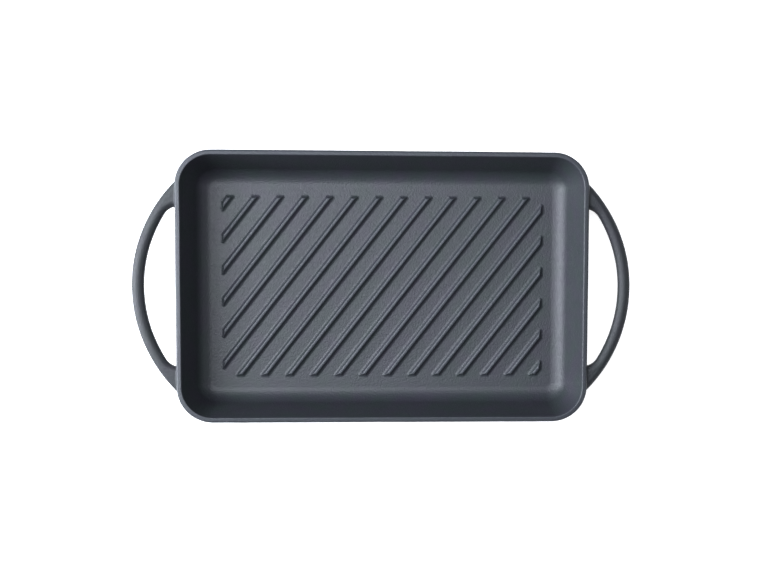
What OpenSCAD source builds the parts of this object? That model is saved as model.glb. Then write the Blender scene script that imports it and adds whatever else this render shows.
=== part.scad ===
// Rectangular cast iron grill pan: a flared tray with slanting ribs and a bow handle at each end.
// Origin: centre of the underside. X runs along the pan, Y across it, Z up. Millimetres.

/* [Pan] */
// Length over the rim, without the handles
pan_l = 330; // [320:1:420]
// Width over the rim
pan_w = 217; // [206:1:300]
// Height from the underside to the rim
pan_h = 42; // [36:1:56]
// Thickness of the floor and the wall
wall_t = 4.6; // [4:0.1:6]
// Lean of the wall away from vertical, in degrees
flare = 18; // [10:1:24]
// Inside radius of the bend between the floor and the wall
bend_r = 13; // [8:0.5:15]
// Corner radius of the flat part of the floor
floor_corner_r = 3.5; // [2:0.5:12]
// Height of the rim above the wall
rim_h = 4; // [3.8:0.1:5]
// Rounding of the rim's two edges
rim_edge_r = 1.9; // [0.6:0.1:1.9]

/* [Ribs] */
// Angle of the ribs from the pan's length, in degrees
rib_angle = 52; // [35:1:60]
// Distance from one rib to the next, square to them
rib_pitch = 16; // [11:0.5:22]
// Width of a rib at the floor
rib_foot_w = 5.6; // [4:0.1:7]
// Width of a rib at its crest
rib_crest_w = 1.8; // [1.5:0.1:3.5]
// Height of a rib above the floor
rib_h = 2.6; // [2:0.1:5]
// Length of the ribbed area
ribbed_l = 265; // [200:1:265]
// Width of the ribbed area
ribbed_w = 148.5; // [120:0.5:150]

/* [Handles] */
// How far each handle stands out past the rim
handle_reach = 35; // [30:1:45]
// Width of a handle where it leaves the rim, as a share of the pan's width
handle_share = 0.775; // [0.55:0.005:0.82]
// Drop from the rim to the top of the handles
handle_drop = 3; // [3:0.5:6]
// Width of the handle bar
bar_w = 9.6; // [8:0.1:13]
// Height of the handle bar
bar_h = 9; // [8:0.5:12]
// Rounding of the handle bar's edges
bar_edge_r = 3.2; // [1:0.1:3.8]
// Fillet between the inside of a handle and the wall
root_r = 12.5; // [5:0.5:14]

/* [Base ring] */
// Height of the ring that the pan stands on
ring_h = 1.5; // [1:0.1:3]
// Width of the ring
ring_w = 6; // [4:0.5:10]
// Outer corner radius of the ring
ring_corner_r = 16; // [12:1:24]
// Distance from the edge of the flat underside to the ring
ring_inset = 2; // [1:0.5:4]

/* [Hidden] */
$fn = 96;
iron = "#5d6269";
dark_iron = "#3f4348";
worn_iron = "#74787e";

// Side view of the bend: heights of its centre and of the floor
floor_z = ring_h + wall_t;
bend_z = floor_z + bend_r;
bend_x = floor_corner_r;
wall_top = pan_h - rim_h;

// Rectangle through the centres of the four rounded corners, to the nearest 0.02 so that its pieces meet exactly
corner_r = wall_x(wall_t, pan_h - rim_edge_r) + rim_edge_r - rim_edge_r / cos(flare);
core_l = round(50 * (pan_l - 2 * corner_r)) / 50;
core_w = round(50 * (pan_w - 2 * corner_r)) / 50;

// The ribs fill the ribbed area, with one through its middle
rib_reach = ribbed_l / 2 * sin(rib_angle) + ribbed_w / 2 * cos(rib_angle);
smallest_corner = 4;
ribs_each_side = floor((rib_reach - smallest_corner) / rib_pitch);
rib_count = 2 * ribs_each_side + 1;

// Each handle is an arc through three points: its two roots at the rim line and its middle
root_y = handle_share * pan_w / 2;
bow_r = (root_y * root_y + handle_reach * handle_reach) / (2 * handle_reach);
bow_x = pan_l / 2 + handle_reach - bow_r;
bow_inner_r = bow_r - bar_w;
bow_middle_r = bow_r - bar_w / 2;
bar_z = pan_h - handle_drop - bar_h;
bar_bury = 14;
bow_angle = acos((pan_l / 2 - bar_bury - bow_x) / bow_r);

function rib_name(n) = str("rib_", n < 10 ? "0" : "", n);

// Point of a handle's arc, by its radius and its angle from the X axis
function on_bow(r, angle) = [bow_x + r * cos(angle), r * sin(angle)];

// Distance of the wall's surface from a corner's centre at height z; grow 0 is the inside, wall_t the outside
function wall_x(grow, z) = bend_x + (bend_r + grow) / cos(flare) + (z - bend_z) * tan(flare);

// Sweeps a side view round a rectangle with rounded corners: x is outwards from the corner's centre, y is up
module sweep_round(length, width) {
    for (turn = [0, 180]) rotate(turn) {
        translate([-length / 2, width / 2, 0]) rotate([90, 0, 90]) linear_extrude(length) children();
        translate([length / 2, width / 2, 0]) rotate([90, 0, 0]) linear_extrude(width) children();
        translate([length / 2, width / 2, 0]) rotate_extrude(angle = 90) children();
        translate([-length / 2, width / 2, 0]) rotate(90) rotate_extrude(angle = 90) children();
    }
}

// Side view of everything inside the wall's surface, up to a height
module inside_of_wall(grow, top) {
    r = bend_r + grow;
    polygon([
        [bend_x, bend_z - r],
        [bend_x + r * cos(flare), bend_z - r * sin(flare)],
        [wall_x(grow, top), top],
        [bend_x, top]
    ]);
    intersection() {
        translate([bend_x, bend_z]) circle(r);
        translate([bend_x, bend_z - r]) square(r);
    }
}

// Side view of the rim: the wall's last stretch, with both top edges rounded
module rim_section() {
    r = rim_edge_r;
    z = pan_h - r;
    inner = [wall_x(0, z) + r / cos(flare), z];
    outer = [wall_x(wall_t, z) - r / cos(flare), z];
    polygon([
        [wall_x(0, wall_top), wall_top],
        [wall_x(wall_t, wall_top), wall_top],
        outer + r * [cos(flare), -sin(flare)],
        outer + [0, r],
        inner + [0, r],
        inner + r * [-cos(flare), sin(flare)]
    ]);
    translate(inner) circle(r);
    translate(outer) circle(r);
}

module pan_floor() {
    r = floor_corner_r;
    color(iron) translate([0, 0, ring_h]) linear_extrude(wall_t) {
        square([core_l + 2 * r, core_w], center = true);
        square([core_l, core_w + 2 * r], center = true);
        for (x = [-1, 1], y = [-1, 1]) translate([x * core_l / 2, y * core_w / 2]) circle(r);
    }
}

module pan_wall() {
    color(dark_iron) sweep_round(core_l, core_w) difference() {
        inside_of_wall(wall_t, wall_top);
        inside_of_wall(0, wall_top + 1);
    }
}

module rim() {
    color(worn_iron) sweep_round(core_l, core_w) rim_section();
}

module base_ring() {
    shrink = ring_inset + ring_corner_r - floor_corner_r;
    color(iron) sweep_round(core_l - 2 * shrink, core_w - 2 * shrink)
        translate([ring_corner_r - ring_w, 0]) square([ring_w, ring_h]);
}

// Cross-section of the handle bar, a rectangle with rounded edges
module bar_section() {
    translate([bar_edge_r, 0]) square([bar_w - 2 * bar_edge_r, bar_h]);
    translate([0, bar_edge_r]) square([bar_w, bar_h - 2 * bar_edge_r]);
    for (x = [bar_edge_r, bar_w - bar_edge_r], y = [bar_edge_r, bar_h - bar_edge_r])
        translate([x, y]) circle(bar_edge_r);
}

// Fillet between the inside of the bar and the wall, seen from above: it meets the wall square on
module root_fillet() {
    wall = core_l / 2 + wall_x(wall_t, bar_z + bar_h / 2);
    centre = [wall, sqrt(pow(bow_inner_r - root_r, 2) - pow(wall - bow_x, 2))];
    fillet_angle = atan2(centre[1], centre[0] - bow_x);
    root_angle = acos((wall - bow_x) / bow_inner_r);
    root = on_bow(bow_middle_r, root_angle);
    difference() {
        polygon([
            [wall - bar_w / 2, centre[1]],
            centre,
            on_bow(bow_inner_r, fillet_angle),
            on_bow(bow_middle_r, fillet_angle),
            root,
            [wall - bar_w / 2, root[1]]
        ]);
        translate(centre) circle(root_r);
    }
}

module handle() {
    difference() {
        union() {
            translate([bow_x, 0, bar_z]) rotate(-bow_angle) rotate_extrude(angle = 2 * bow_angle)
                translate([bow_inner_r, 0]) bar_section();
            for (side = [0, 1]) mirror([0, side, 0])
                translate([0, 0, bar_z + bar_edge_r]) linear_extrude(bar_h - 2 * bar_edge_r) root_fillet();
        }
        sweep_round(core_l, core_w) inside_of_wall(wall_t, pan_h);
    }
}

module handle_right() {
    color(worn_iron) handle();
}

module handle_left() {
    color(worn_iron) rotate(180) handle();
}

// Straight bar with sloping sides, along X
module ridge(length, foot, crest, height) {
    rotate([90, 0, 90]) translate([0, 0, -length / 2]) linear_extrude(length)
        polygon([[-foot / 2, 0], [foot / 2, 0], [crest / 2, height], [-crest / 2, height]]);
}

// One rib: a slanting ridge cut off where the ribbed area ends, with the same slope at its ends
module rib(n) {
    slope = rib_foot_w - rib_crest_w;
    color(iron) translate([0, 0, floor_z]) intersection() {
        rotate(rib_angle) translate([0, (ribs_each_side + 1 - n) * rib_pitch, 0])
            ridge(ribbed_l + ribbed_w, rib_foot_w, rib_crest_w, rib_h);
        ridge(ribbed_l, ribbed_w, ribbed_w - slope, rib_h);
        rotate(90) ridge(ribbed_w, ribbed_l, ribbed_l - slope, rib_h);
    }
}

pan_floor();
pan_wall();
rim();
base_ring();
handle_left();
handle_right();
for (n = [1:rib_count]) rib(n);
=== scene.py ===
"""Rectangular cast iron grill pan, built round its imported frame. Metres, +X along the pan, +Z up."""

import math

import bmesh
import bpy
import numpy as np
from bpy.props import FloatProperty, FloatVectorProperty, PointerProperty
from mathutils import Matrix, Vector, noise


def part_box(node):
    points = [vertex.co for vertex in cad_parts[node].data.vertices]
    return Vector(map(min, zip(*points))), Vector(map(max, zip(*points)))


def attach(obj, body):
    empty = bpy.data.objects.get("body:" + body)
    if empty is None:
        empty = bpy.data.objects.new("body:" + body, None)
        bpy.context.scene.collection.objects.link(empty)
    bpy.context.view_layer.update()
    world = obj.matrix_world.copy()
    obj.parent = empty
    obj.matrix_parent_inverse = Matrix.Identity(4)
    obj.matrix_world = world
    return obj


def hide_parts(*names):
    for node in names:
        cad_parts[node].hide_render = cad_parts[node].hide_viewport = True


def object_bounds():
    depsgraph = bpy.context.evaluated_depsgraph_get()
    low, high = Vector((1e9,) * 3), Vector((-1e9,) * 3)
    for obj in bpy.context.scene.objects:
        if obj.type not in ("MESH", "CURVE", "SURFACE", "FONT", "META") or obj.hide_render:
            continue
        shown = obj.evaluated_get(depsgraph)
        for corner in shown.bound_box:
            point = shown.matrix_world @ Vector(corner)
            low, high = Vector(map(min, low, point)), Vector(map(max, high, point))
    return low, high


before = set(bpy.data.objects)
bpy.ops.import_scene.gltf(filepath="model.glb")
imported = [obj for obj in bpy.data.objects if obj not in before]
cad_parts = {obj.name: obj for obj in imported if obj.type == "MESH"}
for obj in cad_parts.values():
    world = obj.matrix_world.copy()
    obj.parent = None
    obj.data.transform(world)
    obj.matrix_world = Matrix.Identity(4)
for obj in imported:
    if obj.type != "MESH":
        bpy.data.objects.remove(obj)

CAD_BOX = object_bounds()
MM = 0.001

bl_info = {
    "name": "Cast iron grill pan",
    "version": (1, 0, 0),
    "blender": (4, 5, 0),
    "location": "3D View > Sidebar > Grill pan",
    "description": "Builds a rectangular cast iron grill pan and a small studio round it",
    "category": "Add Mesh",
}

FLOOR_LOW, FLOOR_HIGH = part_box("pan_floor")
WALL_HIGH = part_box("pan_wall")[1]
RIM_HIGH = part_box("rim")[1]
RING_LOW, RING_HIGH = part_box("base_ring")
BAR_LOW, BAR_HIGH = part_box("handle_right")
RIB_NODES = sorted(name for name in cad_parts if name.startswith("rib_"))
RIB_BOXES = [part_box(name) for name in RIB_NODES]

# Spacing of the mesh along the tray's sides and up its wall, close enough for the casting's waves
STEP_ALONG = 10 * MM
STEP_UP = 6 * MM
# Which casting the waves draw, the same one on every run
CASTING = 1
# The waves' lengths, and the second one's strength against the first's
SLOW_WAVE = 45 * MM
SHORT_WAVE = 17 * MM
SHORT_SHARE = 0.4
# How far a foot is sunk into the floor and a handle's end into the wall, so that no gap shows
FOOT_SUNK = 0.3 * MM
ROOT_SUNK = 1.0 * MM
# Points closer than this are one point
SAME_POINT = 0.002 * MM
# Edges that turn more than this are drawn sharp
SHARP = math.radians(35)
WHITE = (1, 1, 1, 1)


def linear(hex_value):
    """A hex colour as sRGB, turned to the linear values that shaders take."""
    parts = [int(hex_value[i:i + 2], 16) / 255 for i in (1, 3, 5)]
    return [c / 12.92 if c <= 0.04045 else ((c + 0.055) / 1.055) ** 2.4 for c in parts]


def length(name, default, description):
    """A length property in metres, shown to a tenth of a millimetre."""
    return FloatProperty(name=name, default=default, description=description, min=0,
                         unit="LENGTH", subtype="DISTANCE", precision=4)


def power(name, default, description):
    """A light's power in watts."""
    return FloatProperty(name=name, default=default, description=description, min=0, unit="POWER")


def colour(name, default, description):
    """A colour property from a hex value."""
    return FloatVectorProperty(name=name, default=linear(default), description=description,
                               subtype="COLOR", min=0, max=1, size=3)


# ------------------------------------------------------------------ sizes and colours

class GrillPanTray(bpy.types.PropertyGroup):
    floor_corner: length("Floor corner", 3.5 * MM, "Corner radius of the flat part of the floor")
    bend: length("Bend", 13 * MM, "Inside radius between the floor and the wall")
    flare: FloatProperty(name="Flare", default=math.radians(18), subtype="ANGLE", unit="ROTATION",
                         description="Lean of the wall away from vertical")
    rim_inside: length("Rim inside", 0.9 * MM, "Rounding of the rim's inner edge")
    rim_outside: length("Rim outside", 1.9 * MM, "Rounding of the rim's outer edge")
    rim_fall: length("Rim fall", 0.5 * MM, "How much lower the rim's top is at its outer edge")
    ring_corner: length("Ring corner", 16 * MM, "Outer corner radius of the base ring")
    ring_width: length("Ring width", 6 * MM, "Width of the base ring")
    ring_edge: length("Ring edge", 0.6 * MM, "Rounding of the base ring's edges")


class GrillPanRibs(bpy.types.PropertyGroup):
    angle: FloatProperty(name="Angle", default=math.radians(52), subtype="ANGLE", unit="ROTATION",
                         description="Angle of the ribs from the pan's length")
    foot: length("Foot", 5.6 * MM, "Width of a rib at the floor")
    crest: length("Crest", 1.8 * MM, "Width of a rib at its crest")
    foot_fillet: length("Foot fillet", 2.8 * MM, "Fillet between a rib and the floor")
    crest_edge: length("Crest edge", 1.4 * MM, "Rounding of a rib's crest")
    corner: length("Corner", 1.0 * MM, "Rounding of a rib's ends, seen from above")


class GrillPanHandles(bpy.types.PropertyGroup):
    share: FloatProperty(name="Share", default=0.775, min=0.5, max=0.82, subtype="FACTOR",
                         description="Width of a handle at the rim, as a share of the pan's width")
    bar: length("Bar", 9.6 * MM, "Width of the handle bar")
    edge: length("Edge", 3.2 * MM, "Rounding of the handle bar's edges")
    crown: length("Crown", 1.8 * MM, "How far the bar's top and underside fall away towards its sides")
    flat: length("Flat", 1.2 * MM, "Half the width of the bar's flat top and underside, before rounding")
    flare: length("Flare", 12.5 * MM, "Radius that widens the bar's inner side towards the wall")
    root_inside: length("Root inside", 1.8 * MM, "Fillet between the wall and the bar's inner side")
    root_outside: length("Root outside", 3 * MM, "Fillet between the wall and the bar's outer side")
    root_above: length("Root above", 1 * MM, "Fillet between the wall and the top of the bar")
    root_below: length("Root below", 4 * MM, "Fillet between the wall and the underside of the bar")


class GrillPanIron(bpy.types.PropertyGroup):
    skin: colour("Skin", "#2f3236", "Oiled and baked skin over the iron")
    dark: colour("Dark", "#2a2c30", "The skin where it is thicker")
    green: colour("Green film", "#2a3231", "Oil film where it looks slightly green")
    purple: colour("Purple film", "#302e37", "Oil film where it looks slightly purple")
    # Lighter colour of crests and edges: partly rubbed skin, partly a painted highlight on the tops
    rubbed: colour("Rubbed", "#3a3d42", "Crests and edges where the skin is rubbed thin, with a painted highlight")
    film: FloatProperty(name="Film", default=0.7, min=0, max=1, subtype="FACTOR",
                        description="How much of the skin's colour comes from the oil film")
    # Grains of mould sand, about 0.3 mm, are too fine to show, so they are drawn coarser
    grain: length("Grain", 1.3 * MM, "Size of the grain left by the sand mould")
    grain_depth: length("Grain depth", 0.3 * MM, "Depth of the grain")
    patch: length("Patch", 38 * MM, "Size of the uneven patches in the skin")
    film_patch: length("Film patch", 17 * MM, "Size of the green and purple patches of oil film")
    speck: length("Speck", 3 * MM, "Size of the specks of duller and brighter skin")
    shiny: FloatProperty(name="Shiny", default=0.43, min=0, max=1, subtype="FACTOR",
                         description="Roughness of the brightest specks")
    matte: FloatProperty(name="Matte", default=0.51, min=0, max=1, subtype="FACTOR",
                         description="Roughness of the dullest specks")
    wobble: length("Wobble", 0.12 * MM, "How far the casting strays from true")


class GrillPanStudio(bpy.types.PropertyGroup):
    lens: FloatProperty(name="Lens", default=51.72, unit="CAMERA",
                        description="Focal length on a sensor 36 mm wide")
    camera: FloatVectorProperty(name="Camera", default=(-0.0146, 0.0206, 0.9238), subtype="TRANSLATION",
                                unit="LENGTH", description="Place of the camera")
    tilt: FloatVectorProperty(name="Tilt", default=[math.radians(a) for a in (-4.03, -3.14, 0.21)],
                              subtype="EULER", unit="ROTATION", description="Tilt of the camera")
    shift: FloatVectorProperty(name="Shift", default=(-0.055, 0.067), size=2,
                               description="Shift of the lens, as a share of the frame's width")
    key_power: power("Key power", 38, "Large soft light at the pan's left")
    low_power: power("Low power", 22, "Soft light at the left, near the table")
    top_power: power("Top power", 15, "Soft light overhead")
    fill_power: power("Fill power", 2.2, "Weak soft light at the right")
    light_distance: length("Light distance", 1.5, "Distance of the lights from the pan")
    light: colour("Light", "#eef4ff", "Colour of the soft lights, a little cooler than the table")
    table_size: length("Table size", 8, "Width of the light table")
    table: colour("Table", "#f2f2f2", "Colour of the light table's opal top")
    table_glow: FloatProperty(name="Table glow", default=0.8, min=0,
                              description="Light that comes up through the table's top")


class GrillPanSettings(bpy.types.PropertyGroup):
    tray: PointerProperty(type=GrillPanTray)
    ribs: PointerProperty(type=GrillPanRibs)
    handles: PointerProperty(type=GrillPanHandles)
    iron: PointerProperty(type=GrillPanIron)
    studio: PointerProperty(type=GrillPanStudio)


# ------------------------------------------------------------------ outlines

def rounded(points, radii, steps=12):
    """A line of straight stretches with its corners rounded. Steps are closer at the ends of each arc,
    so that the surface leaves it in the true direction."""
    points = [np.array(p, float) for p in points]
    line = []
    for i, (point, radius) in enumerate(zip(points, radii)):
        if radius == 0:
            line.append(point)
            continue
        back = points[i - 1] - point
        ahead = points[(i + 1) % len(points)] - point
        back /= np.linalg.norm(back)
        ahead /= np.linalg.norm(ahead)
        corner = math.acos(float(back @ ahead))
        middle = (back + ahead) / np.linalg.norm(back + ahead)
        centre = point + middle * radius / math.sin(corner / 2)
        reach = radius / math.tan(corner / 2)
        first = point + back * reach - centre
        last = point + ahead * reach - centre
        line += [centre + turned for turned in arc(first, last, steps)]
    return line


def arc(first, last, steps):
    """Turns one radius towards another, with closer steps at both ends."""
    first, last = np.array(first, float), np.array(last, float)
    size = np.linalg.norm(first)
    turn = math.acos(np.clip(first @ last / size ** 2, -1, 1))
    shares = [(1 - math.cos(math.pi * k / steps)) / 2 for k in range(steps + 1)]
    return [(math.sin((1 - s) * turn) * first + math.sin(s * turn) * last) / math.sin(turn) for s in shares]


def divided(start, end, spacing):
    """Points along a straight stretch, without its two ends."""
    start, end = np.array(start, float), np.array(end, float)
    count = max(1, round(np.linalg.norm(end - start) / spacing))
    return [start + (end - start) * k / count for k in range(1, count)]


def with_divisions(line, spacing):
    """The same line with its long stretches divided."""
    out = []
    for start, end in zip(line, line[1:]):
        out += [start, *divided(start, end, spacing)]
    return out + [line[-1]]


class Tray:
    """The tray's shape, from the frame and the panel's sizes. Side views measure x outwards from the
    centre of a rounded corner, which lies on the core rectangle."""

    def __init__(self, sizes):
        self.core = np.array((FLOOR_HIGH.x - sizes.floor_corner, FLOOR_HIGH.y - sizes.floor_corner))
        self.flare = sizes.flare
        self.inside_z = FLOOR_HIGH.z
        self.outside_z = FLOOR_LOW.z
        self.thickness = FLOOR_HIGH.z - FLOOR_LOW.z
        self.bend = sizes.bend
        self.bend_x = sizes.floor_corner
        self.bend_z = self.inside_z + self.bend
        # The floor's mesh stops a little short of its flat edge, and the wall's mesh takes over there
        self.seam = sizes.floor_corner - 1.5 * MM

    def wall_x(self, grow, z):
        """Distance of the wall's surface from the corner's centre: grow 0 is inside, thickness outside."""
        return (self.bend_x + (self.bend + grow) / math.cos(self.flare)
                + (z - self.bend_z) * math.tan(self.flare))

    def clear_of_wall(self, point):
        """Distance from the wall's outer surface and the surface's direction there."""
        out = np.maximum(np.abs(point[:2]) - self.core, 0) * np.sign(point[:2])
        reach = np.linalg.norm(out)
        gap = (reach - self.wall_x(self.thickness, point[2])) * math.cos(self.flare)
        away = np.array((*(out / reach * math.cos(self.flare)), -math.sin(self.flare)))
        return gap, away

    def side(self, grow, bend, top):
        """Side view of one face of the floor and wall, from the seam up to a height."""
        base = self.inside_z - grow
        lean = (base - self.bend_z) * math.tan(self.flare)
        foot = self.bend_x + (self.bend + grow) / math.cos(self.flare) + lean
        corners = [(self.seam, base), (foot, base), (self.wall_x(grow, top), top)]
        return with_divisions(rounded(corners, (0, bend, 0), steps=16), STEP_UP)


# ------------------------------------------------------------------ meshes

def places_round(core, corner_steps=20):
    """Places round a rectangle with rounded corners: a point of the core rectangle and the way outwards."""
    corners = [np.array((x, y)) * core for x, y in ((1, 1), (-1, 1), (-1, -1), (1, -1))]
    places = []
    for i, corner in enumerate(corners):
        for k in range(corner_steps + 1):
            angle = (i + k / corner_steps) * math.pi / 2
            places.append((corner, np.array((math.cos(angle), math.sin(angle)))))
        places += [(p, places[-1][1]) for p in divided(corner, corners[(i + 1) % 4], STEP_ALONG)]
    return places


def grid_faces(rows, columns, wrap_rows, wrap_columns):
    """Faces between the points of a grid, which may close on itself either way."""
    faces = []
    for i in range(rows if wrap_rows else rows - 1):
        for j in range(columns if wrap_columns else columns - 1):
            a, b = i * columns, (i + 1) % rows * columns
            k = (j + 1) % columns
            faces.append((a + j, b + j, b + k, a + k))
    return faces


def swept(core, side, closed=True):
    """Sweeps a side view round the core rectangle: points and faces."""
    places = places_round(core)
    points = [(*(p + way * x), z) for p, way in places for x, z in side]
    return points, grid_faces(len(places), len(side), True, closed)


def stray(point, amount):
    """How a casting strays from true, in two waves. They are the same for every piece, so that the seams
    stay shut."""
    slow = noise.noise_vector(Vector(point) / SLOW_WAVE)
    short = noise.noise_vector(Vector(point) / SHORT_WAVE)
    return Vector(point) + (slow + SHORT_SHARE * short) * amount


def make_piece(name, points, faces, replaced, material):
    """A closed mesh that stands for CAD nodes and is held inside the CAD's box. It rides on the pan and
    takes the material it is given."""
    amount = bpy.context.scene.grill_pan.iron.wobble
    noise.seed_set(CASTING)
    moved = [stray(p, amount) for p in points]
    low, high = CAD_BOX
    held = [[min(max(p[i], low[i]), high[i]) for i in range(3)] for p in moved]
    mesh = bpy.data.meshes.new(name)
    mesh.from_pydata(held, [], faces)
    shape = bmesh.new()
    shape.from_mesh(mesh)
    bmesh.ops.remove_doubles(shape, verts=shape.verts, dist=SAME_POINT)
    bmesh.ops.dissolve_degenerate(shape, edges=shape.edges, dist=SAME_POINT / 2)
    bmesh.ops.recalc_face_normals(shape, faces=shape.faces)
    open_edges = sum(not edge.is_manifold for edge in shape.edges)
    shape.to_mesh(mesh)
    shape.free()
    if open_edges:
        raise RuntimeError(f"{name} has {open_edges} edges that don't close")
    mesh.shade_smooth()
    mesh.set_sharp_from_angle(angle=SHARP)
    mesh.materials.append(material)
    piece = bpy.data.objects.new(name, mesh)
    bpy.context.scene.collection.objects.link(piece)
    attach(piece, "root")
    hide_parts(*replaced)
    return piece


# ------------------------------------------------------------------ finishes

def add(tree, kind, inputs=None, **settings):
    """Adds a node: settings are its properties, inputs pairs a socket with a value or an output to link."""
    made = tree.nodes.new(kind)
    for name, value in settings.items():
        setattr(made, name, value)
    for socket, value in (inputs or {}).items():
        if isinstance(value, bpy.types.NodeSocket):
            tree.links.new(value, made.inputs[socket])
        else:
            made.inputs[socket].default_value = value
    return made


def new_material(name):
    """An empty node material and its tree, or None for the tree if the material is there already."""
    found = bpy.data.materials.get(name)
    if found:
        return found, None
    material = bpy.data.materials.new(name)
    material.use_nodes = True
    material.node_tree.nodes.clear()
    return material, material.node_tree


def patchy(tree, place, size, detail):
    """Uneven patches of about that size, from 0 to 1. The noise keeps mostly between 0.3 and 0.7, so that
    part of it is stretched."""
    raw = add(tree, "ShaderNodeTexNoise", {"Vector": place, "Scale": 1 / size, "Detail": detail})
    return add(tree, "ShaderNodeMapRange", {
        "Value": raw.outputs["Fac"], "From Min": 0.3, "From Max": 0.7}).outputs["Result"]


def mixed(tree, factor, first, second):
    """One colour turning into another."""
    return add(tree, "ShaderNodeMix", {"Factor": factor, "A": first, "B": second},
               data_type="RGBA").outputs["Result"]


def seasoned_iron(name, rub_and_highlight_low=None, rub_and_highlight_high=None, shade=1.0, dull=0.0):
    """Sand-cast grey iron, oiled and baked: a near-black, slightly blue skin with a soft, broad shine, the
    fine grain of the mould and faint patches where the oil baked thicker. Between two heights, if they are
    given, the skin turns lighter: partly rubbed thinner, partly a painted highlight on the tops. Shade
    darkens the skin, which makes painted shade, and dull adds to its roughness."""
    material, tree = new_material(name)
    if tree is None:
        return material
    iron = bpy.context.scene.grill_pan.iron
    place = add(tree, "ShaderNodeTexCoord").outputs["Object"]
    # Shade darkens every tone of the skin; below 1 it is painted shade, as on the handles
    dark, light, green, purple = [(*(shade * c for c in tone), 1)
                                  for tone in (iron.dark, iron.skin, iron.green, iron.purple)]
    skin = mixed(tree, patchy(tree, place, iron.patch, detail=3.0), dark, light)
    film = mixed(tree, patchy(tree, place, iron.film_patch, detail=1.0), green, purple)
    finish = mixed(tree, iron.film, skin, film)
    # Lighter towards the top between the two heights: partly rubbed skin, partly a painted highlight
    if rub_and_highlight_low is not None:
        shape = add(tree, "ShaderNodeSeparateXYZ", {"Vector": place})
        rubbed = add(tree, "ShaderNodeMapRange", {
            "Value": shape.outputs["Z"], "From Min": rub_and_highlight_low, "From Max": rub_and_highlight_high},
            interpolation_type="SMOOTHSTEP")
        finish = mixed(tree, rubbed.outputs["Result"], finish, (*iron.rubbed, 1))
    roughness = add(tree, "ShaderNodeMapRange", {
        "Value": patchy(tree, place, iron.speck, detail=3.0),
        "To Min": iron.shiny + dull, "To Max": iron.matte + dull})
    grain = add(tree, "ShaderNodeTexNoise", {"Vector": place, "Scale": 1 / iron.grain, "Detail": 4.0})
    bump = add(tree, "ShaderNodeBump", {
        "Height": grain.outputs["Fac"], "Strength": 1.0, "Distance": iron.grain_depth})
    shader = add(tree, "ShaderNodeBsdfPrincipled", {
        "Base Color": finish, "Roughness": roughness.outputs["Result"],
        "Metallic": 0.0, "Normal": bump.outputs["Normal"]})
    add(tree, "ShaderNodeOutputMaterial", {"Surface": shader.outputs["BSDF"]})
    return material


def tray_iron():
    """The skin of the floor, the wall and the base ring."""
    return seasoned_iron("Seasoned sand-cast iron")


def rib_iron():
    """The same skin on the ribs, whose crests are lighter: partly rubbed by turners and scrapers, partly a
    painted highlight.
    """
    crest = max(high.z for _, high in RIB_BOXES)
    # The top 0.8 mm of each rib turns lighter: rubbed skin and a painted highlight
    rubbed = 0.8 * MM
    return seasoned_iron("Seasoned sand-cast iron, rubbed crests", crest - rubbed, crest)


def rim_iron():
    """The same skin on the rim, lighter along its top: partly rubbed a little, partly a painted highlight.
    The lighter colour is at half strength along its top.
    """
    # Lighter near the rim's top: rubbed skin and a painted highlight
    rubbed = 2 * MM
    return seasoned_iron("Seasoned sand-cast iron, rubbed rim with painted highlight", RIM_HIGH.z - rubbed, RIM_HIGH.z + rubbed)


def handle_iron():
    """The same skin on the handles, duller than on the tray and darker as painted shade."""
    return seasoned_iron("Seasoned sand-cast iron, handles with painted shade", shade=0.6, dull=0.08)


# ------------------------------------------------------------------ operators

class GRILLPAN_OT_floor(bpy.types.Operator):
    """Make the flat floor plate"""
    bl_idname = "grill_pan.floor"
    bl_label = "Floor"

    def execute(self, context):
        tray = Tray(context.scene.grill_pan.tray)
        side = [(0, tray.inside_z), (tray.seam, tray.inside_z),
                (tray.seam, tray.outside_z), (0, tray.outside_z)]
        points, faces = swept(tray.core, side, closed=False)
        corners = [np.array((x, y)) * tray.core for x, y in ((-1, -1), (1, -1), (-1, 1))]
        columns = [corners[0], *divided(corners[0], corners[1], STEP_ALONG), corners[1]]
        rows = [corners[0], *divided(corners[0], corners[2], STEP_ALONG), corners[2]]
        for z in (tray.inside_z, tray.outside_z):
            first = len(points)
            points += [(column[0], row[1], z) for row in rows for column in columns]
            grid = grid_faces(len(rows), len(columns), False, False)
            faces += [tuple(first + k for k in face) for face in grid]
        make_piece("tray_floor", points, faces, ["pan_floor"], tray_iron())
        return {"FINISHED"}


class GRILLPAN_OT_wall(bpy.types.Operator):
    """Make the flared wall and the bend that joins it to the floor"""
    bl_idname = "grill_pan.wall"
    bl_label = "Wall"

    def execute(self, context):
        tray = Tray(context.scene.grill_pan.tray)
        inner = tray.side(0, tray.bend, WALL_HIGH.z)
        outer = tray.side(tray.thickness, tray.bend + tray.thickness, WALL_HIGH.z)
        points, faces = swept(tray.core, inner + outer[::-1])
        make_piece("tray_wall", points, faces, ["pan_wall"], tray_iron())
        return {"FINISHED"}


class GRILLPAN_OT_rim(bpy.types.Operator):
    """Make the rim, with both its edges rounded"""
    bl_idname = "grill_pan.rim"
    bl_label = "Rim"

    def execute(self, context):
        sizes = context.scene.grill_pan.tray
        tray = Tray(sizes)
        base, top = WALL_HIGH.z, RIM_HIGH.z
        outline = [(tray.wall_x(0, base), base), (tray.wall_x(0, top), top),
                   (tray.wall_x(tray.thickness, top), top - sizes.rim_fall),
                   (tray.wall_x(tray.thickness, base), base)]
        points, faces = swept(tray.core, rounded(outline, (0, sizes.rim_inside, sizes.rim_outside, 0)))
        make_piece("tray_rim", points, faces, ["rim"], rim_iron())
        return {"FINISHED"}


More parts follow.
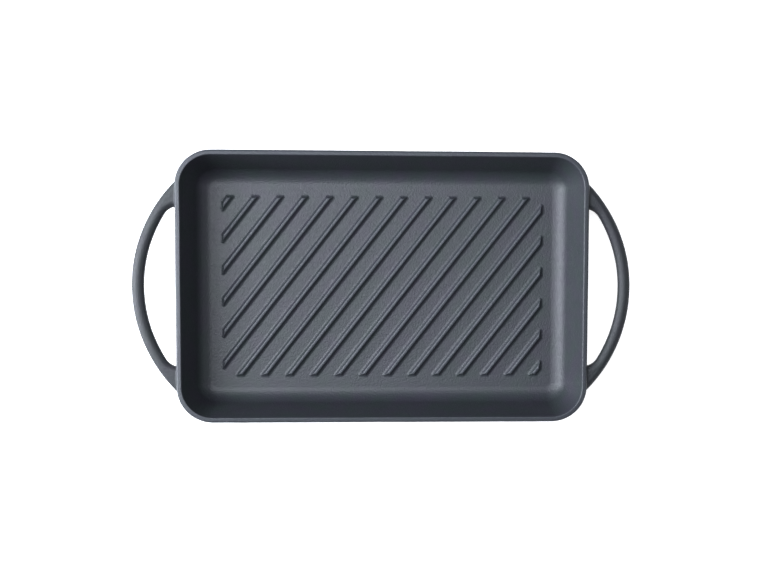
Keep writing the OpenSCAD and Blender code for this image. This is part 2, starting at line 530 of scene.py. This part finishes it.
class GRILLPAN_OT_base_ring(bpy.types.Operator):
    """Make the low ring that the pan stands on"""
    bl_idname = "grill_pan.base_ring"
    bl_label = "Base ring"

    def execute(self, context):
        sizes = context.scene.grill_pan.tray
        core = np.array((RING_HIGH.x, RING_HIGH.y)) - sizes.ring_corner
        inner, outer, edge = sizes.ring_corner - sizes.ring_width, sizes.ring_corner, sizes.ring_edge
        top, sunk = RING_HIGH.z, RING_HIGH.z + FOOT_SUNK
        outline = [(inner - edge, sunk), (inner - edge, top), (inner, top), (inner, RING_LOW.z),
                   (outer, RING_LOW.z), (outer, top), (outer + edge, top), (outer + edge, sunk)]
        points, faces = swept(core, rounded(outline, (0, 0, edge, edge, edge, edge, 0, 0), steps=6))
        make_piece("tray_base_ring", points, faces, ["base_ring"], tray_iron())
        return {"FINISHED"}


class GRILLPAN_OT_ribs(bpy.types.Operator):
    """Make the slanting ribs, each cut off square with the tray"""
    bl_idname = "grill_pan.ribs"
    bl_label = "Ribs"

    def execute(self, context):
        sizes = context.scene.grill_pan.ribs
        half = np.array((max(high.x for _, high in RIB_BOXES), max(high.y for _, high in RIB_BOXES)))
        across = np.array((math.sin(sizes.angle), -math.cos(sizes.angle)))
        middle = len(RIB_NODES) // 2
        step = (RIB_BOXES[middle + 1][0].x - RIB_BOXES[middle - 1][0].x) / 2 * math.sin(sizes.angle)
        for n, node in enumerate(RIB_NODES):
            self.make_rib(node, sizes, across, (n - middle) * step, half)
        return {"FINISHED"}

    def make_rib(self, node, sizes, across, offset, half):
        """One rib: its outline, seen from above, moved in step by step from the floor to the crest."""
        low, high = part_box(node)
        floor, crest = low.z, high.z
        slope = (sizes.foot - sizes.crest) / 2
        # A short skirt goes down into the floor, a hair outside the end of the foot fillet
        hair = 0.05 * MM
        skirt = -sizes.foot_fillet * math.tan(math.atan2(crest - floor, slope) / 2) - hair
        outline = [(skirt, floor - FOOT_SUNK), (skirt, floor), (0, floor), (slope, crest),
                   (sizes.foot / 2, crest)]
        side = rounded(outline, (0, 0, sizes.foot_fillet, sizes.crest_edge, 0), steps=8)[:-1]
        edges = self.edges(across, offset, sizes.foot / 2, half)
        smallest_corner = 0.25 * MM
        loops = [self.loop(edges, inset, max(sizes.corner - inset, smallest_corner), z)
                 for inset, z in side]
        count = len(loops[0])
        points = [p for loop in loops for p in loop]
        faces = grid_faces(len(loops), count, False, True)
        faces += [tuple(range(count)), tuple(range(len(points) - count, len(points)))]
        make_piece(node + "_cast", points, faces, [node], rib_iron())

    def edges(self, across, offset, half_foot, half):
        """The four lines round a rib's foot, anticlockwise, as an outward direction and a distance."""
        walls = [(np.array(way, float), size) for way, size in
                 (((1, 0), half[0]), ((0, 1), half[1]), ((-1, 0), half[0]), ((0, -1), half[1]))]
        along = np.array((-across[1], across[0]))
        ends = []
        for way in (along, -along):
            # Of the area's sides that lie ahead, the rib ends at the nearest
            hits = [((size - offset * float(across @ out)) / float(way @ out), out, size)
                    for out, size in walls if way @ out > 1e-6]
            ends.append(min(hits, key=lambda hit: hit[0])[1:])
        return [(across, offset + half_foot), ends[0], (-across, half_foot - offset), ends[1]]

    def loop(self, edges, inset, radius, z):
        """A rib's outline at one height: each line moved in, and the corners rounded."""
        points = []
        for (way, size), (next_way, next_size) in zip(edges, edges[1:] + edges[:1]):
            lines = np.array((way, next_way))
            centre = np.linalg.solve(lines, (size - inset - radius, next_size - inset - radius))
            points += [(*(centre + turned), z) for turned in arc(way * radius, next_way * radius, steps=6)]
        return points


class Bow:
    """A handle seen from above. Its outer side is one arc. Its inner side turns off a smaller arc at each
    root, round the flare, and meets the wall square on."""

    def __init__(self, sizes, tray):
        reach = BAR_HIGH.x - RIM_HIGH.x
        root = sizes.share * RIM_HIGH.y
        self.middle_z = (BAR_LOW.z + BAR_HIGH.z) / 2
        self.outer = (root ** 2 + reach ** 2) / (2 * reach)
        self.inner = self.outer - sizes.bar
        self.centre = np.array((BAR_HIGH.x - self.outer, 0))
        self.flare = sizes.flare
        wall = tray.core[0] + tray.wall_x(tray.thickness, self.middle_z)
        across = wall - self.centre[0]
        self.flare_centre = np.array((wall, math.sqrt((self.inner - self.flare) ** 2 - across ** 2)))
        self.flare_turn = math.atan2(self.flare_centre[1], across)

    def outside(self, inset, distance):
        """A point that far along the outer side from the bow's middle, and the way off the bar."""
        radius = self.outer - inset
        way = turned_by(distance / radius)
        return self.centre + way * radius, way

    def inside(self, inset, distance):
        """The same for the inner side: arc, flare, and straight on into the wall."""
        radius = self.inner + inset
        on_arc = radius * self.flare_turn
        if distance < on_arc:
            way = turned_by(distance / radius)
            return self.centre + way * radius, -way
        radius = self.flare + inset
        turn = self.flare_turn + (distance - on_arc) / radius
        way = turned_by(min(turn, math.pi / 2))
        past = max(turn - math.pi / 2, 0) * radius
        return self.flare_centre + way * radius - np.array((past, 0)), -way


def turned_by(angle):
    """The X direction turned by an angle."""
    return np.array((math.cos(angle), math.sin(angle)))


class GRILLPAN_OT_handles(bpy.types.Operator):
    """Make the two bow handles, with a fillet rolled round each root"""
    bl_idname = "grill_pan.handles"
    bl_label = "Handles"

    def execute(self, context):
        sizes = context.scene.grill_pan.handles
        tray = Tray(context.scene.grill_pan.tray)
        points, faces = self.bar(sizes, tray, Bow(sizes, tray))
        for node, sign in (("handle_right", 1), ("handle_left", -1)):
            placed = [(sign * x, sign * y, z) for x, y, z in points]
            make_piece(node + "_bow", placed, faces, [node], handle_iron())
        return {"FINISHED"}

    def bar(self, sizes, tray, bow):
        """The right handle: lengthwise lines over the bar, each ending in its own arc of the fillet."""
        half_w, half_h = sizes.bar / 2, (BAR_HIGH.z - BAR_LOW.z) / 2
        side_h = half_h - sizes.crown
        quarter = [(sizes.flat, -half_h), (half_w, -side_h), (half_w, side_h), (sizes.flat, half_h)]
        outline = quarter + [(-u, v) for u, v in reversed(quarter)]
        # Wide enough to round away nearly all of the flat
        ridge = 4 * sizes.flat
        section = rounded(outline, [ridge, sizes.edge, sizes.edge, ridge] * 2, steps=6)
        lines = []
        for i, spot in enumerate(section):
            along = section[(i + 1) % len(section)] - section[i - 1]
            away = np.array((along[1], -along[0])) / np.linalg.norm(along)
            lines.append(self.line(sizes, tray, bow, spot, away))
        faces = grid_faces(len(lines), len(lines[0]), True, False)
        last = len(lines[0]) - 1
        for k in (0, last):
            faces.append(tuple(i * len(lines[0]) + k for i in range(len(lines))))
        return [p for line in lines for p in line], faces

    def line(self, sizes, tray, bow, spot, away):
        """One lengthwise line, from deep in the wall at one root to the other."""
        out_u, up_v = away
        radius = (max(out_u, 0) ** 2 * sizes.root_outside + min(out_u, 0) ** 2 * sizes.root_inside
                  + max(up_v, 0) ** 2 * sizes.root_above + min(up_v, 0) ** 2 * sizes.root_below)

        def place(distance):
            """The line's point at a distance along the bow, and the way off the bar there."""
            outer, out_way = bow.outside(sizes.bar / 2 - spot[0], distance)
            inner, in_way = bow.inside(sizes.bar / 2 + spot[0], distance)
            point, way = (outer, out_way) if spot[0] > 0 else (inner, in_way)
            way = way * abs(out_u)
            return np.array((*point, bow.middle_z + spot[1])), np.array((*way, up_v))

        # Halving finds where the fillet's ball first touches the wall, less than 60 degrees round the bow
        low, high = 0.0, bow.outer * math.radians(60)
        for _ in range(50):
            distance = (low + high) / 2
            point, way = place(distance)
            if tray.clear_of_wall(point + way * radius)[0] > radius:
                low = distance
            else:
                high = distance
        point, way = place(low)
        rest = point + way * radius
        surface = tray.clear_of_wall(rest)[1]
        fillet = [rest + turned for turned in arc(-way * radius, -surface * radius, steps=12)]
        sunk = fillet[-1] - surface * ROOT_SUNK
        steps = 32
        bar = [place(low * k / steps)[0] for k in range(steps)]
        half = bar + fillet + [sunk]
        return [p * (1, -1, 1) for p in half[:0:-1]] + half


class GRILLPAN_OT_studio(bpy.types.Operator):
    """Set up the light table, the soft lights and the camera"""
    bl_idname = "grill_pan.studio"
    bl_label = "Studio"

    def execute(self, context):
        studio = context.scene.grill_pan.studio
        self.table(studio)
        self.light(studio, "key_softbox", studio.key_power, azimuth=172, height=42, size=(0.9, 0.7))
        self.light(studio, "low_softbox", studio.low_power, azimuth=184, height=12, size=(0.45, 0.4))
        self.light(studio, "top_softbox", studio.top_power, azimuth=130, height=80, size=(0.7, 0.5))
        self.light(studio, "fill_softbox", studio.fill_power, azimuth=0, height=35, size=(0.45, 0.4))
        self.camera(context.scene, studio)
        self.surroundings(context.scene)
        context.scene.view_settings.view_transform = "Standard"
        return {"FINISHED"}

    def table(self, studio):
        """A light table with an opal acrylic top: a matte white ground on which shadows stay faint."""
        half = studio.table_size / 2
        mesh = bpy.data.meshes.new("studio_table")
        # A hair below the pan, so that no face lies in another
        hair = 0.1 * MM
        z = RING_LOW.z - hair
        mesh.from_pydata([(-half, -half, z), (half, -half, z), (half, half, z), (-half, half, z)],
                         [], [(0, 1, 2, 3)])
        material, tree = new_material("Opal acrylic, lit from below")
        shader = add(tree, "ShaderNodeBsdfPrincipled", {
            "Base Color": (*studio.table, 1), "Roughness": 0.8, "Specular IOR Level": 0.1,
            "Emission Color": WHITE, "Emission Strength": studio.table_glow})
        add(tree, "ShaderNodeOutputMaterial", {"Surface": shader.outputs["BSDF"]})
        mesh.materials.append(material)
        table = bpy.data.objects.new("studio_table", mesh)
        bpy.context.scene.collection.objects.link(table)

    def light(self, studio, name, power, azimuth, height, size):
        """A soft light that faces the pan, by its direction from +X and its height in degrees."""
        lamp = bpy.data.lights.new(name, "AREA")
        lamp.shape = "RECTANGLE"
        lamp.size, lamp.size_y = size
        lamp.energy = power
        lamp.color = studio.light
        around, up = math.radians(azimuth), math.radians(height)
        away = Vector((math.cos(around) * math.cos(up), math.sin(around) * math.cos(up), math.sin(up)))
        holder = bpy.data.objects.new(name, lamp)
        holder.location = away * studio.light_distance
        holder.rotation_euler = (-away).to_track_quat("-Z", "Y").to_euler()
        bpy.context.scene.collection.objects.link(holder)

    def camera(self, scene, studio):
        """The camera, looking almost straight down."""
        eye = bpy.data.cameras.new("camera")
        eye.lens = studio.lens
        eye.sensor_width = 36
        eye.shift_x, eye.shift_y = studio.shift
        holder = bpy.data.objects.new("camera", eye)
        holder.location = studio.camera
        holder.rotation_euler = studio.tilt
        scene.collection.objects.link(holder)
        scene.camera = holder

    def surroundings(self, scene):
        """A white room to the eye that gives only a little light of its own."""
        scene.world = bpy.data.worlds.new("studio")
        scene.world.use_nodes = True
        tree = scene.world.node_tree
        tree.nodes.clear()
        seen = add(tree, "ShaderNodeLightPath").outputs["Is Camera Ray"]
        room = add(tree, "ShaderNodeBackground", {"Color": WHITE, "Strength": 0.05})
        white = add(tree, "ShaderNodeBackground", {"Color": WHITE, "Strength": 1.0})
        both = add(tree, "ShaderNodeMixShader", {0: seen, 1: room.outputs[0], 2: white.outputs[0]})
        add(tree, "ShaderNodeOutputWorld", {"Surface": both.outputs[0]})


class GRILLPAN_PT_panel(bpy.types.Panel):
    """The pan's sizes and the buttons that build it"""
    bl_label = "Grill pan"
    bl_idname = "GRILLPAN_PT_panel"
    bl_space_type = "VIEW_3D"
    bl_region_type = "UI"
    bl_category = "Grill pan"

    def draw(self, context):
        settings = context.scene.grill_pan
        for group in ("tray", "ribs", "handles", "iron", "studio"):
            box = self.layout.box()
            box.label(text=group.capitalize())
            sizes = getattr(settings, group)
            for name in type(sizes).__annotations__:
                box.prop(sizes, name)
        for operator in OPERATORS:
            self.layout.operator(operator.bl_idname)


GROUPS = (GrillPanTray, GrillPanRibs, GrillPanHandles, GrillPanIron, GrillPanStudio, GrillPanSettings)
OPERATORS = (GRILLPAN_OT_floor, GRILLPAN_OT_wall, GRILLPAN_OT_rim, GRILLPAN_OT_base_ring,
             GRILLPAN_OT_ribs, GRILLPAN_OT_handles, GRILLPAN_OT_studio)
CLASSES = (*GROUPS, *OPERATORS, GRILLPAN_PT_panel)


def register():
    for cls in CLASSES:
        bpy.utils.register_class(cls)
    bpy.types.Scene.grill_pan = PointerProperty(type=GrillPanSettings)


def unregister():
    del bpy.types.Scene.grill_pan
    for cls in reversed(CLASSES):
        bpy.utils.unregister_class(cls)


def main():
    register()
    bpy.ops.grill_pan.floor()
    bpy.ops.grill_pan.wall()
    bpy.ops.grill_pan.rim()
    bpy.ops.grill_pan.base_ring()
    bpy.ops.grill_pan.ribs()
    bpy.ops.grill_pan.handles()
    bpy.ops.grill_pan.studio()


if __name__ == "__main__":
    main()
